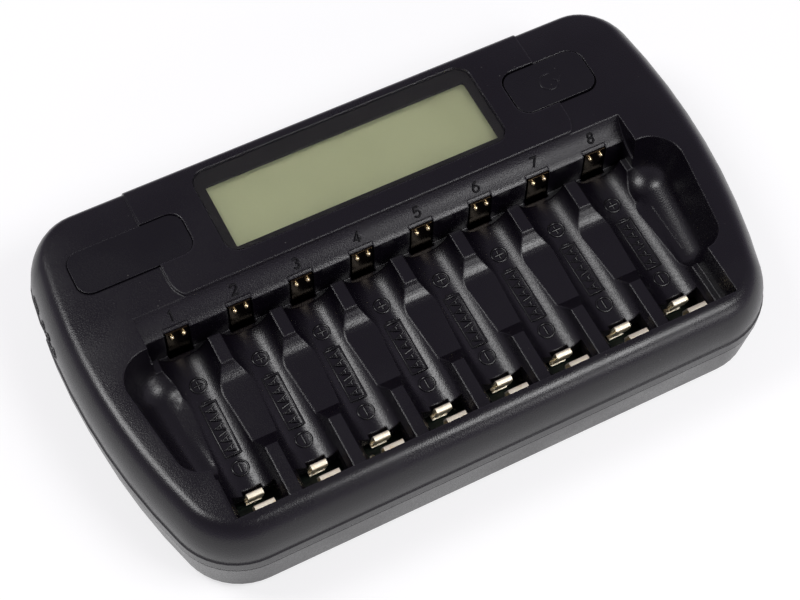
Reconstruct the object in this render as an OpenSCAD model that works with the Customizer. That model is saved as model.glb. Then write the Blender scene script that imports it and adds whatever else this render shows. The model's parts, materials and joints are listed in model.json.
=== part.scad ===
// Battery charger with a row of bays and a display.
// AA or AAA cells lie side by side in a moulded tray, their plus ends towards the display.
// X runs along the row, Y towards the display, Z up; the origin is on the table under the middle.

/* [Case] */
// Width of the case at its widest
case_w = 184.5; // [178:0.5:200]
// Depth of the case, front to back
case_d = 108; // [106:0.5:116]
// Height of the flat top face above the table
top_z = 30.4; // [29.5:0.1:33]
// Height of the line where the two halves meet
parting_z = 14.8; // [14:0.1:16]
// How far the widest point lies behind the middle
widest_y = 14; // [8:1:28]
// Radius of the bowed sides, seen from above
side_r = 180; // [170:5:260]
// Radius of the front corners, seen from above
front_corner_r = 19; // [17:0.5:24]
// Radius of the back corners, seen from above
back_corner_r = 17; // [13:0.5:20]
// Wall thickness of both halves
wall = 2.2; // [1.8:0.1:2.6]
// How far the rounded top edge reaches in from the side
edge_inset = 7; // [6:0.5:9]
// How far the rounded top edge reaches in from the back
back_edge_inset = 4; // [3:0.5:8]
// Height of the upright lip above the parting line
lip_h = 3.3; // [2.5:0.1:4]
// Crease above the lip
crease = 0.35; // [0.2:0.05:0.6]
// How far the lower half draws in towards the table
base_draft = 1.5; // [0.6:0.1:2]
// Chamfer round the underside
base_chamfer = 1; // [0.5:0.1:1.5]
// Depth of the shadow groove along the parting line
groove = 0.3; // [0.15:0.05:0.5]

/* [Battery bays] */
// Distance between neighbouring bays
bay_pitch = 17.6; // [17.2:0.1:17.8]
// Radius of the trough under a cell
trough_r = 7.4; // [7.3:0.05:7.6]
// Height of the lowest line of a trough
trough_z = 14.5; // [14:0.1:15.2]
// Height of the ribs between the troughs
rib_z = 19.7; // [18.8:0.1:20.5]
// Flat ledge beside the outermost troughs
side_ledge = 1.8; // [1.2:0.1:2.5]
// Length of an AA cell
aa_length = 50.5; // [49.5:0.1:51]
// Length of an AAA cell
aaa_length = 44.5; // [43.5:0.1:45]
// Where the plus ends touch, behind the middle
plus_y = 9; // [8:0.5:10]
// Thickness of the tray under the troughs
tray_floor = 2; // [1.5:0.1:2.4]

/* [Finger scoop] */
// Distance from the plus ends to the scoop's back edge
scoop_start = 9.8; // [8:0.1:12]
// Length of the scoop across the ribs
scoop_length = 26.4; // [24:0.1:28]
// Height of the scoop's floor at the back
scoop_z = 16; // [15.6:0.1:17]
// Rise of the scoop's floor towards the front
scoop_rise = 0.9; // [0.3:0.1:1.4]
// Length of the hollow ramp at the back
ramp_back = 6.7; // [5:0.1:8]
// Length of the straight ramp at the front
ramp_front = 4.2; // [3:0.1:6]
// How far the end bowls reach out beside the tray
bowl_reach = 9.8; // [8:0.1:10.5]

/* [Number bar] */
// Height of the bar's lower edge
bar_low_z = 24.8; // [23.8:0.1:25.5]
// Depth of the bar from its lower to its upper edge
bar_run = 5.6; // [4.5:0.1:6.5]
// Hollow of the bar between its edges
bar_hollow = 0.6; // [0.3:0.1:1]
// How far the bar runs past the tray at each end
bar_over = 0.5; // [0.2:0.1:1]
// Width of the window in front of a plus contact
plus_window_w = 7; // [6.5:0.1:8]

/* [Panel and display] */
// Width of the raised panel
panel_w = 117; // [112:1:122]
// Step from the top face up to the panel
panel_step = 0.8; // [0.4:0.1:1.2]
// Radius of the panel's front corners
panel_r = 8; // [5:0.5:10]
// Width of the display lens
lens_w = 82; // [80:0.5:84]
// Depth of the display lens
lens_d = 27; // [25:0.5:28]
// Thickness of the display lens
lens_t = 1.3; // [1:0.1:1.6]
// Corner radius of the display lens
lens_r = 4; // [2:0.5:6]
// Where the lens is centred, behind the middle
lens_y = 34.7; // [33:0.1:35]
// Width of the clear display window
window_w = 76.8; // [74:0.2:77.4]
// Depth of the clear display window
window_d = 20.5; // [18:0.1:21]
// Thickness of the display glass
glass_t = 2.2; // [1.8:0.1:2.6]
// Height of the rubber strips that join glass and board
strip_h = 3.4; // [3:0.1:4]

/* [Button and badge] */
// Width of the button
button_w = 23.8; // [20:0.2:24]
// Depth of the button
button_d = 14; // [12:0.2:15]
// Where the button is centred, right of the middle
button_x = 59.5; // [59:0.1:62]
// Where the button is centred, behind the middle
button_y = 32.8; // [31:0.1:34]
// Travel of the button
button_travel = 0.6; // [0.3:0.1:0.7]
// Width of the badge plate
badge_w = 32; // [28:0.5:34]
// Depth of the badge plate
badge_d = 13.2; // [12:0.2:15]
// Where the badge is centred, left of the middle
badge_x = 64; // [62:0.1:65]
// Where the badge is centred, behind the middle
badge_y = 33.1; // [31:0.1:34]
// Corner radius of the button and the badge
key_r = 3.8; // [2:0.1:5]
// Gap round the button
button_gap = 0.5; // [0.3:0.05:0.7]

/* [Contacts] */
// Thickness of the contact sheet
sheet_t = 0.4; // [0.3:0.05:0.5]
// Half the depth of a leaf's fold
fold_r = 0.9; // [0.7:0.05:1]
// Radius of the two bends of a flat-topped fold, at the middle of the sheet
fold_bend = 0.35; // [0.3:0.05:0.5]
// Width of the AA leaf
aa_leaf_w = 5.4; // [4.6:0.1:6]
// Height of the AA leaf's top
aa_leaf_z = 24; // [22:0.1:25]
// Width of the AAA leaf
aaa_leaf_w = 4.3; // [3.8:0.1:4.8]
// Height of the AAA leaf's top
aaa_leaf_z = 17; // [16.4:0.1:17.6]
// Squeeze on a cell between its contacts
preload = 0.5; // [0.2:0.1:0.7]
// Room in front of the AA leaf to bend into
leaf_room = 2.3; // [2:0.1:3]
// Height of the two dimples on a plus contact
dimple_h = 1; // [0.7:0.1:1.2]
// Distance between the two dimples
dimple_gap = 3.3; // [2.8:0.1:3.6]
// Height of the dimples above the table
dimple_z = 23.35; // [22.5:0.05:23.8]

/* [Boards and inside] */
// Thickness of the floor of the lower half
floor_t = 2; // [1.6:0.1:2.4]
// Height of the feet below the case
foot_h = 1.2; // [0.8:0.1:1.6]
// Diameter of a foot
foot_d = 10; // [8:0.5:12]
// Thickness of both circuit boards
board_t = 1.6; // [1.2:0.1:2]
// Room under the main board
board_lift = 3.3; // [2.8:0.1:3.6]
// Diameter of the case screws
case_screw_d = 2.8; // [2.5:0.1:3]
// Diameter of the board screws
board_screw_d = 2.2; // [1.8:0.1:2.5]
// Width of the supply inlet's housing
inlet_w = 9; // [8:0.1:10]
// Length of the supply inlet's housing
inlet_l = 14; // [12:0.5:15]
// Bore of the supply inlet
inlet_bore_d = 6.2; // [5.8:0.1:6.6]
// Diameter of the supply inlet's pin
inlet_pin_d = 2.1; // [1.7:0.1:2.5]
// Where the supply inlet is, behind the middle
inlet_y = 29; // [26:0.5:30]

/* [Hidden] */
$fn = 48;
bay_count = 8;
bays = [1 : bay_count];
seat_gap = 0.3;
slip = 0.15;
hair = 0.05;
past = 1;
wide = 400;

function bay_x(i) = (i - (bay_count + 1) / 2) * bay_pitch;

// Heights, from the table up
under_z = foot_h;
floor_z = under_z + floor_t;
board_z = floor_z + board_lift;
board_top = board_z + board_t;
tray_z = trough_z - tray_floor;
trough_axis_z = trough_z + trough_r;
lip_z = parting_z + lip_h;
ceiling_z = top_z - wall;
panel_z = top_z + panel_step;
lens_z = panel_z - lens_t;
key_z = top_z + panel_step / 2;
glass_z = ceiling_z - glass_t;
display_top = glass_z - strip_h;
display_z = display_top - board_t;

// The tray, seen from above
tray_half_w = (bay_count - 1) / 2 * bay_pitch + trough_half_w() + side_ledge;
function trough_half_w() = sqrt(trough_r * trough_r - (trough_axis_z - rib_z) * (trough_axis_z - rib_z));
tray_back_y = plus_y + dimple_h;
cell_slack = 0.6;
leaf_fold_y = plus_y - aa_length - cell_slack - fold_r;
tray_front_y = leaf_fold_y - fold_r - leaf_room;
rib_gap = 1.2;
rib_back_y = plus_y - rib_gap;
bar_back_y = tray_back_y + bar_run + wall;
leaf_slot_over = 0.5;
leaf_slot_y = plus_y - aaa_length + leaf_slot_over;
leaf_slot_w = 11.8;
leaf_notch = 1.4;
side_clear = 0.45;
plus_window_over = 1;
plus_window_depth = 1.5;

// The hollow of the number bar is part of a cylinder through both of its edges
bar_rise = panel_z - bar_low_z;
bar_chord = norm([bar_run, bar_rise]);
bar_r = bar_chord * bar_chord / (8 * bar_hollow) + bar_hollow / 2;
bar_mid = [tray_back_y + bar_run / 2, bar_low_z + bar_rise / 2];
bar_centre = bar_mid + (bar_r - bar_hollow) / bar_chord * [-bar_rise, bar_run];

// Display parts, seen from above
window_shift = 1.55;
window_y = lens_y - window_shift;
window_edge = 0.5;
glass_side = 0.4;
glass_end = 0.7;
glass_shift = 1.3;
glass_w = lens_w - 2 * glass_side;
glass_d = lens_d - 2 * glass_end;
glass_y = lens_y - glass_shift;
holder_wall = 1.8;
holder_r = 1;
holder_w = glass_w + 2 * (slip + holder_wall);
holder_d = glass_d + 2 * (slip + holder_wall);
strip_w = 2.2;
strip_edge = 0.9;
strip_end = 2;
strip_r = 0.3;
strip_y = glass_d / 2 - strip_w / 2 - strip_edge;
strip_l = window_w - 2 * strip_end;
glass_ledge = strip_w + 2.2;
glass_r = 0.5;
display_post_d = 4.6;
display_post_x = holder_w / 2 + display_post_d / 2 + seat_gap;
display_post_in = 1;
display_post_y = glass_d / 2 - display_post_in;
display_posts = [for (sx = [-1, 1], sy = [-1, 1]) [sx * display_post_x, glass_y + sy * display_post_y]];
display_rim = 1;
switch_w = 6;
display_left = -display_post_x - display_post_d / 2 - display_rim;
display_right = button_x + switch_w / 2 + 5 * display_rim;
display_front = bar_back_y + seat_gap;
display_back = glass_y + holder_d / 2 + display_rim / 2;

// The button and its switch
flange = 1.2;
flange_t = 1;
flange_z = ceiling_z - slip - flange_t;
stem_l = 0.4;
stem_wall = 0.8;
plunger_d = 3.4;
plunger_up = 0.9;
plunger_in = 1.4;
plunger_top = flange_z - stem_l;
switch_h = plunger_top - plunger_up - display_top;

// Screws and feet
boss_r = 3.4;
boss_z = floor_z + 1.8;
screw_head_d = 5.4;
screw_head_t = 1.6;
case_screw_l = 8;
rib_boss_x = 3 * bay_pitch;
rib_boss_gap = 3.6;
rib_boss_y = plus_y - scoop_start - scoop_length - rib_boss_gap;
corner_boss_in = [12.25, 11.5];
corner_boss_x = case_w / 2 - corner_boss_in.x;
corner_boss_y = case_d / 2 - corner_boss_in.y;
case_bosses = [for (s = [-1, 1]) each [[s * rib_boss_x, rib_boss_y], [s * corner_boss_x, corner_boss_y]]];
board_boss_r = 3;
board_head_d = 4.2;
board_head_t = 1.4;
board_boss_x = corner_boss_x - 16;
board_boss_back = corner_boss_y + 1.5;
board_boss_front = plus_y - 33;
board_bosses = [for (sx = [-1, 1], y = [board_boss_back, board_boss_front]) [sx * board_boss_x, y]];
foot_sink = 0.8;
front_foot = [case_w / 2 - 30.25, 15 - case_d / 2];
back_foot = [case_w / 2 - 24.25, case_d / 2 - 13];
foot_places = [for (p = [front_foot, back_foot]) each [[-p.x, p.y], p]];
vent_w = 2;
vent_l = 18;
vent_pitch = 6;
vent_count = 9;
vent_rows = [-14, 14];

// The supply inlet in the left side
inlet_nose = 0.2;
inlet_h = 11;
inlet_depth = 9.5;
inlet_hole_d = inlet_bore_d + 2.2;
inlet_x = -(side_x(inlet_y) - wall - base_draft - inlet_nose);
inlet_pin_back = 1;

// Components on the main board, in a row behind the supply inlet
capacitor_d = 8;
capacitor_h = 10.5;
capacitor_pitch = 10;
capacitor_room = 3.7;
capacitor_x = inlet_x + inlet_l + capacitor_room + capacitor_d / 2;
capacitor_y = glass_y - 9;
choke_d = 11;
choke_h = 6;
choke_eye_d = 4;
choke_eye_t = 2;
choke_x = capacitor_x + 2 * capacitor_pitch;
choke_y = glass_y + 2;
chip_w = 12;
chip_t = 1.5;
chip_r = 0.4;
chip_x = 14;
transistor_size = [6.6, 6.1, 2.3];
transistor_side = 5;
transistor_y = plus_y - 12;
link_l = 24;
link_w = 2.5;
link_x = -32;
link_y = glass_y + 9;

// Sheet-metal details of the contacts
dimple_d = 1.4;
plate_side = 0.5;
plate_over = 0.4;
belly_drop = 1.4;
aa_free_drop = 3.2;
aaa_lean = 2;
aaa_free_l = 3.5;
aaa_tip_room = 0.3;

// The rim of the lower half that stands inside the upper wall
rim_t = 1;
rim_h = 1.5;

// Points on an arc from angle a to angle b, both ends included
function arc(centre, r, a, b, steps) =
    [for (k = [0 : steps]) let (t = a + (b - a) * k / steps) centre + r * [cos(t), sin(t)]];

// Half the width of the case at a place between its corners
function side_x(y) = sqrt(side_r * side_r - (y - widest_y) * (y - widest_y)) - side_r + case_w / 2;

// The corner arcs touch the side arc, so their centres follow from the radii
side_centre = [case_w / 2 - side_r, widest_y];
function corner_centre(r, y) =
    [side_centre.x + sqrt((side_r - r) * (side_r - r) - (y - widest_y) * (y - widest_y)), y];
front_centre = corner_centre(front_corner_r, -case_d / 2 + front_corner_r);
back_centre = corner_centre(back_corner_r, case_d / 2 - back_corner_r);
function touch_angle(c) = atan2(c.y - side_centre.y, c.x - side_centre.x);

// Outline of the case seen from above, drawn in by an inset all round
function right_outline(inset) =
    let (a = touch_angle(front_centre), b = touch_angle(back_centre))
    let (bow = arc(side_centre, side_r - inset, a, b, 8))
    concat(
        arc(front_centre, front_corner_r - inset, -90, a, 9),
        [for (k = [1 : len(bow) - 2]) bow[k]],
        arc(back_centre, max(0.5, back_corner_r - inset), b, 90, 9)
    );
// The back may draw in less than the sides
function outline(inset, back) = both_sides([for (p = right_outline(inset)) ease_back(p, inset, back)]);
function ease_back(p, inset, back) = p.y <= 0 ? p : [p.x, p.y * (case_d / 2 - back) / (case_d / 2 - inset)];

// A closed outline from its right half, front to back
function both_sides(right) = concat(right, [for (k = [len(right) - 1 : -1 : 0]) [-right[k].x, right[k].y]]);

// A solid through outlines at several levels: each is an inset, a height and, where it differs, the back's inset
module loft(levels) {
    rings = [for (l = levels) [for (p = outline(l[0], len(l) > 2 ? l[2] : l[0])) [p.x, p.y, l[1]]]];
    n = len(rings[0]);
    top = (len(levels) - 1) * n;
    sides = [for (j = [0 : len(levels) - 2], k = [0 : n - 1])
        let (a = j * n + k, b = j * n + (k + 1) % n) [a, a + n, b + n, b]];
    caps = [[for (k = [0 : n - 1]) k], [for (k = [n - 1 : -1 : 0]) top + k]];
    polyhedron([for (r = rings) each r], concat(sides, caps));
}

// The rounded top edge is a quarter of an ellipse above the lip
edge_steps = 9;
top_levels = concat(
    [[0, parting_z], [0, lip_z]],
    [for (k = [0 : edge_steps]) let (t = 90 * k / edge_steps) [
        crease + (edge_inset - crease) * (1 - cos(t)),
        lip_z + crease + (top_z - lip_z - crease) * sin(t),
        crease + (back_edge_inset - crease) * (1 - cos(t))
    ]]
);
cavity_steps = 4;
top_cavity_levels = concat(
    [[wall, parting_z - past]],
    [for (k = [0 : cavity_steps]) let (t = 90 * k / cavity_steps) [
        wall + (edge_inset - 2 * wall) * (1 - cos(t)),
        lip_z + (ceiling_z - lip_z) * sin(t),
        wall + back_edge_inset / 2 * (1 - cos(t))
    ]]
);
base_levels = [
    [base_draft + base_chamfer, under_z],
    [base_draft, under_z + base_chamfer],
    [0.1, parting_z - 2 * groove],
    [groove, parting_z - groove],
    [groove, parting_z]
];
base_cavity_levels = [
    [base_draft + wall, floor_z],
    [wall, parting_z - groove],
    [wall, parting_z + past]
];
rim_inset = wall + slip;
rim_levels = [
    [wall / 2, parting_z - rim_h],
    [wall / 2, parting_z - 2 * groove],
    [rim_inset, parting_z - groove],
    [rim_inset, parting_z + rim_h]
];
rim_inner_levels = [[rim_inset + rim_t, parting_z - rim_h - past], [rim_inset + rim_t, parting_z + rim_h + past]];

// A flat sheet with rounded corners, as points
function round_rect(w, d, r) = concat(
    arc([w / 2 - r, d / 2 - r], r, 0, 90, 6),
    arc([r - w / 2, d / 2 - r], r, 90, 180, 6),
    arc([r - w / 2, r - d / 2], r, 180, 270, 6),
    arc([w / 2 - r, r - d / 2], r, 270, 360, 6)
);

module round_plate(w, d, r, h) {
    linear_extrude(h) polygon(round_rect(w, d, r));
}

module block(x, y, z) {
    translate([x[0], y[0], z[0]]) cube([x[1] - x[0], y[1] - y[0], z[1] - z[0]]);
}

module across(w) {
    rotate([90, 0, 90]) translate([0, 0, -w / 2]) linear_extrude(w) children();
}

// A bent sheet of even thickness along a path, as points
function unit(v) = v / norm(v);
function path_normal(p, k) =
    let (a = unit(p[min(k + 1, len(p) - 1)] - p[max(k - 1, 0)])) [-a.y, a.x];
function ribbon(p, t) = concat(
    [for (k = [0 : len(p) - 1]) p[k] + t / 2 * path_normal(p, k)],
    [for (k = [len(p) - 1 : -1 : 0]) p[k] - t / 2 * path_normal(p, k)]
);

// One end bowl: two round hollows under a wider mouth; grow gives the wall round it
bowl_out = tray_half_w + bowl_reach;
bowl_back_r = 8.6;
bowl_front_r = 7.2;
bowl_taper = 3.2;
bowl_flare = 0.6;
bowl_ends = [2, 2.6];
bowl_floor_in = 5;
bowl_back = [bowl_out - bowl_back_r, plus_y - scoop_start - bowl_ends.x];
bowl_front = [bowl_out - bowl_front_r - bowl_taper, plus_y - scoop_start - scoop_length + bowl_ends.y];
bowl_sink = 0.1;

module bowl_end(place, r, floor_height, grow) {
    translate([place.x, place.y, top_z]) cylinder(r = r + grow, h = past);
    ball_r = r - bowl_flare;
    translate([place.x - 2 * bowl_flare, place.y, floor_height + ball_r - bowl_sink]) sphere(ball_r + grow);
}

module bowl(grow) {
    $fn = grow > 0 ? 16 : 32;
    hull() {
        bowl_end(bowl_back, bowl_back_r, scoop_z, grow);
        bowl_end(bowl_front, bowl_front_r, scoop_z + scoop_rise, grow);
    }
}

module bowl_floor() {
    block([tray_half_w, bowl_out - bowl_floor_in], [bowl_front.y, bowl_back.y], [scoop_z - wall, parting_z + hair]);
}

module both_ends() {
    children();
    mirror([1, 0, 0]) children();
}

module tray_block(margin, z) {
    half_w = tray_half_w + margin;
    block([-half_w, half_w], [tray_front_y - margin, bar_back_y], [tray_z, z]);
}

module tray_body() {
    tray_block(wall, top_z);
    both_ends() bowl(wall);
}

module tray_pocket() {
    block([-tray_half_w, tray_half_w], [tray_front_y, tray_back_y], [rib_z, panel_z + past]);
    block([-tray_half_w, tray_half_w], [rib_back_y, tray_back_y], [trough_z, rib_z + past]);
    translate([0, bar_centre.x, bar_centre.y])
        rotate([0, 90, 0]) cylinder(r = bar_r, h = 2 * (tray_half_w + bar_over), center = true, $fn = 180);
}

// Trough, contact window and leaf slot of one bay
module bay_cuts() {
    translate([0, tray_back_y, trough_axis_z])
        rotate([90, 0, 0]) cylinder(r = trough_r, h = tray_back_y - tray_front_y, $fn = 96);
    block([-plus_window_w / 2, plus_window_w / 2], [tray_back_y - past, tray_back_y + plus_window_depth],
        [tray_z - past, bar_low_z + plus_window_over]);
    block([-leaf_slot_w / 2, leaf_slot_w / 2], [tray_front_y, leaf_slot_y], [tray_z - past, rib_z]);
    notch = aaa_leaf_w / 2 + side_clear;
    block([-notch, notch], [tray_front_y, leaf_slot_y + leaf_notch], [tray_z - past, rib_z]);
}

// Finger scoop across all ribs: a hollow ramp, a gently rising floor and a straight ramp
module scoop() {
    back = plus_y - scoop_start;
    front = back - scoop_length;
    ramp = [for (k = [0 : 6]) let (t = k / 6) [
        back - ramp_back * t * (0.7 + 0.3 * t),
        rib_z - (rib_z - scoop_z) * (1 - (1 - t) * (1 - t))
    ]];
    floor_end = [front + ramp_front, scoop_z + scoop_rise];
    across(2 * tray_half_w) polygon(concat(ramp, [floor_end, [front, rib_z], [front, top_z], [back, top_z]]));
}

// Plan of the raised panel: round front corners, square at the back edge
panel_foot = 2.4;
module panel_plan() {
    front = bar_mid.x;
    back = case_d / 2 + past;
    polygon(concat(
        arc([panel_r - panel_w / 2, front + panel_r], panel_r, 180, 270, 8),
        arc([panel_w / 2 - panel_r, front + panel_r], panel_r, 270, 360, 8),
        [[panel_w / 2, back], [-panel_w / 2, back]]
    ));
}

module raised_panel() {
    intersection() {
        translate([0, 0, panel_step]) loft(top_levels);
        translate([0, 0, lip_z + panel_foot]) linear_extrude(top_z) panel_plan();
    }
}

module at(places) {
    for (p = places) translate([p.x, p.y, 0]) children();
}

module upright(r, z0, z1) {
    translate([0, 0, z0]) cylinder(r = r, h = z1 - z0);
}

module inlet_hole() {
    translate([-wide / 2, inlet_y, parting_z]) rotate([0, 90, 0]) cylinder(d = inlet_hole_d, h = wide / 2 + inlet_x + inlet_l);
}

module top_case() {
    color("#232326") difference() {
        union() {
            difference() {
                union() {
                    loft(top_levels);
                    raised_panel();
                }
                difference() {
                    loft(top_cavity_levels);
                    tray_body();
                    at(case_bosses) upright(boss_r, boss_z, top_z);
                    at(display_posts) upright(display_post_d / 2, display_top, top_z);
                }
            }
            tray_block(wall / 2, parting_z + hair);
            both_ends() bowl_floor();
            at(case_bosses) upright(boss_r, boss_z, parting_z + hair);
        }
        tray_pocket();
        scoop();
        for (i = bays) translate([bay_x(i), 0, 0]) bay_cuts();
        both_ends() bowl(0);
        translate([0, lens_y, lens_z]) round_plate(lens_w + 2 * slip, lens_d + 2 * slip, lens_r + slip, wall);
        translate([0, window_y, ceiling_z - past]) round_plate(window_w + 2 * window_edge, window_d + 2 * window_edge, 1, lens_t + wall);
        translate([button_x, button_y, ceiling_z - past])
            round_plate(button_w + 2 * button_gap, button_d + 2 * button_gap, key_r + button_gap, 2 * wall);
        translate([-badge_x, badge_y, ceiling_z + wall / 2])
            round_plate(badge_w + 2 * slip, badge_d + 2 * slip, key_r + slip, wall);
        at(case_bosses) upright(case_screw_d / 2 + hair, boss_z - past, boss_z + case_screw_l);
        at(display_posts) upright(board_screw_d / 2 + hair, display_top - past, ceiling_z - hair);
        inlet_hole();
    }
}

module vents() {
    for (k = [0 : vent_count - 1], y = vent_rows)
        translate([(k - (vent_count - 1) / 2) * vent_pitch, y, under_z - past])
            round_plate(vent_w, vent_l, vent_w / 2 - hair, floor_t + 2 * past);
}

// Stands inside the upper wall and stops where the tray reaches the front corners
module rim() {
    difference() {
        loft(rim_levels);
        loft(rim_inner_levels);
        tray_block(wall + seat_gap, top_z);
    }
}

module bottom_case() {
    color("#2b2b2e") difference() {
        union() {
            difference() {
                loft(base_levels);
                loft(base_cavity_levels);
            }
            rim();
            at(case_bosses) upright(boss_r, floor_z - hair, boss_z);
            at(board_bosses) upright(board_boss_r, floor_z - hair, board_z);
        }
        at(case_bosses) upright(case_screw_d / 2 + slip, under_z - past, boss_z + past);
        at(case_bosses) upright(screw_head_d / 2 + slip, under_z - past, under_z + screw_head_t + slip);
        at(board_bosses) upright(board_screw_d / 2 + hair, floor_z, board_z + past);
        at(foot_places) upright(foot_d / 2 + slip, under_z - past, under_z + foot_sink);
        vents();
        inlet_hole();
    }
}

module display_lens() {
    color("#3a3d34") translate([0, lens_y, lens_z]) round_plate(lens_w, lens_d, lens_r, lens_t);
}

module display_glass() {
    color("#9da37c") translate([0, glass_y, glass_z]) round_plate(glass_w, glass_d, glass_r, glass_t);
}

module display_holder() {
    ledge = 2 * glass_ledge;
    color("#d9d9d4") translate([0, glass_y, display_top]) difference() {
        round_plate(holder_w, holder_d, holder_r, ceiling_z - display_top);
        translate([0, 0, strip_h]) round_plate(glass_w + 2 * slip, glass_d + 2 * slip, glass_r, glass_t + past);
        translate([0, 0, -past]) round_plate(glass_w - ledge, glass_d - ledge, holder_r, strip_h + 2 * past);
        for (s = [-1, 1]) translate([0, s * strip_y, -past])
            round_plate(strip_l + 2 * slip, strip_w + 2 * slip, strip_r, strip_h + 2 * past);
    }
}

module display_strips() {
    color("#55585c") for (s = [-1, 1])
        translate([0, glass_y + s * strip_y, display_top]) round_plate(strip_l, strip_w, strip_r, strip_h);
}

module display_board() {
    color("#2f5d3a") difference() {
        block([display_left, display_right], [display_front, display_back], [display_z, display_top]);
        at(display_posts) upright(board_screw_d / 2 + slip, display_z - past, display_top + past);
    }
}

// A pan-head screw that points up, its head's top face at a height
module screw(d, head_d, head_t, length, z) {
    upright(head_d / 2, z - head_t, z);
    upright(d / 2, z - hair, z + length);
}

module display_screws() {
    color("silver") at(display_posts)
        screw(board_screw_d, board_head_d, board_head_t, board_t + strip_h, display_z);
}

module mode_button() {
    color("#232326") translate([button_x, button_y, 0]) {
        translate([0, 0, flange_z + flange_t - hair])
            round_plate(button_w, button_d, key_r, key_z - flange_z - flange_t + hair);
        translate([0, 0, flange_z])
            round_plate(button_w + 2 * flange, button_d + 2 * flange, key_r + flange, flange_t);
        upright(plunger_d / 2 + stem_wall, plunger_top, flange_z + hair);
    }
}

module badge_plate() {
    color("#1d1d20") translate([-badge_x, badge_y, ceiling_z + wall / 2])
        round_plate(badge_w, badge_d, key_r, key_z - ceiling_z - wall / 2);
}

module switch_body() {
    color("#3b3b3b") translate([button_x, button_y, 0]) difference() {
        block([-switch_w / 2, switch_w / 2], [-switch_w / 2, switch_w / 2], [display_top, display_top + switch_h]);
        upright(plunger_d / 2 + hair, display_top + switch_h - plunger_in - button_travel - slip, plunger_top);
    }
}

module switch_plunger() {
    color("#c9c9c9") translate([button_x, button_y, 0])
        upright(plunger_d / 2, display_top + switch_h - plunger_in, plunger_top);
}

// Wide at the sides beside the inlet, narrow between the front corners
board_inset = [0.4, 1.5];
board_side = 2;
module main_board() {
    front = tray_front_y + board_inset.x;
    side_w = side_x(inlet_y) - base_draft - wall - board_side;
    corner = corner_boss_x - boss_r - board_inset.y;
    step_y = corner_boss_y - boss_r - board_inset.y;
    back = case_d / 2 - base_draft - wall - board_side;
    right = [[tray_half_w, front], [side_w, 0], [side_w, step_y], [corner, step_y], [corner, back]];
    color("#2f5d3a") difference() {
        translate([0, 0, board_z]) linear_extrude(board_t) polygon(both_sides(right));
        at(case_bosses) upright(boss_r + 2 * slip, board_z - past, board_top + past);
        at(board_bosses) upright(board_screw_d / 2 + slip, board_z - past, board_top + past);
    }
}

module board_screws() {
    color("silver") at(board_bosses) {
        upright(board_head_d / 2, board_top, board_top + board_head_t);
        upright(board_screw_d / 2, floor_z + hair, board_top + hair);
    }
}

module case_screws() {
    color("silver") at(case_bosses)
        screw(case_screw_d, screw_head_d, screw_head_t, case_screw_l, under_z + screw_head_t + slip);
}

// Barrel inlet: a housing on the main board with a round bore and a pin along its middle
module dc_inlet() {
    color("#1a1a1a") difference() {
        block([inlet_x, inlet_x + inlet_l], [inlet_y - inlet_w / 2, inlet_y + inlet_w / 2],
            [board_top, board_top + inlet_h]);
        translate([inlet_x - past, inlet_y, parting_z])
            rotate([0, 90, 0]) cylinder(d = inlet_bore_d, h = inlet_depth + past);
    }
    color("silver") translate([inlet_x + inlet_pin_back, inlet_y, parting_z])
        rotate([0, 90, 0]) cylinder(d = inlet_pin_d, h = inlet_depth);
}

module board_link() {
    color("#1f1f1f") block([link_x, link_x + link_l], [link_y, link_y + link_w], [board_top, display_z]);
}

module control_chip() {
    color("#202020") translate([chip_x, glass_y, board_top]) round_plate(chip_w, chip_w, chip_r, chip_t);
}

module charge_transistors() {
    color("#2a2a2a") for (i = bays) translate([bay_x(i) + transistor_side, transistor_y, board_top])
        round_plate(transistor_size.x, transistor_size.y, chip_r, transistor_size.z);
}

module smoothing_capacitors() {
    color("#30343c") for (k = [0, 1]) translate([capacitor_x + k * capacitor_pitch, capacitor_y, board_top])
        cylinder(d = capacitor_d, h = capacitor_h);
}

module choke_coil() {
    color("#4a3a2a") translate([choke_x, choke_y, board_top]) difference() {
        cylinder(d = choke_d, h = choke_h);
        translate([0, 0, choke_h - choke_eye_t]) cylinder(d = choke_eye_d, h = choke_eye_t + past);
    }
}

module foot(i) {
    color("#161616") translate([foot_places[i - 1].x, foot_places[i - 1].y, 0])
        cylinder(d = foot_d, h = foot_h + foot_sink);
}

// Upright plate behind the window of its bay, with two dimples that touch the cell
module plus_contact(i) {
    plate_w = plus_window_w - 2 * plate_side;
    neck = dimple_h - dimple_d / 2 + hair;
    color("#c8a24a") translate([bay_x(i), tray_back_y, 0]) {
        block([-plate_w / 2, plate_w / 2], [0, sheet_t], [board_top, bar_low_z + plate_over]);
        for (s = [-1, 1]) translate([s * dimple_gap / 2, hair, dimple_z]) rotate([90, 0, 0]) {
            cylinder(d = dimple_d, h = neck);
            translate([0, 0, neck]) sphere(d = dimple_d);
        }
    }
}

// A flat-topped fold over to the other side of a sheet: two tight bends about the direction a
function fold_path(centre, half, r, a, turn) =
    let (u = [cos(a - turn), sin(a - turn)], n = [cos(a), sin(a)])
    concat(
        arc(centre + (half - r) * (n + u), r, a - turn, a, 4),
        arc(centre + (half - r) * (n - u), r, a, a + turn, 4)
    );

// Hooked at the foot, folded over at the top, with a belly that presses on the cell
module aa_contact(i) {
    bend = fold_r - sheet_t / 2;
    foot_z = board_top + seat_gap + fold_r;
    fold_z = aa_leaf_z - fold_r;
    belly = [plus_y - aa_length + preload - sheet_t / 2, trough_axis_z - belly_drop];
    path = concat(
        arc([leaf_fold_y, foot_z], bend, 0, -180, 8),
        fold_path([leaf_fold_y, fold_z], bend, fold_bend, 90, -90),
        [belly, [leaf_fold_y + bend, rib_z - aa_free_drop]]
    );
    color("#c8a24a") translate([bay_x(i), 0, 0]) across(aa_leaf_w) polygon(ribbon(path, sheet_t));
}

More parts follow.
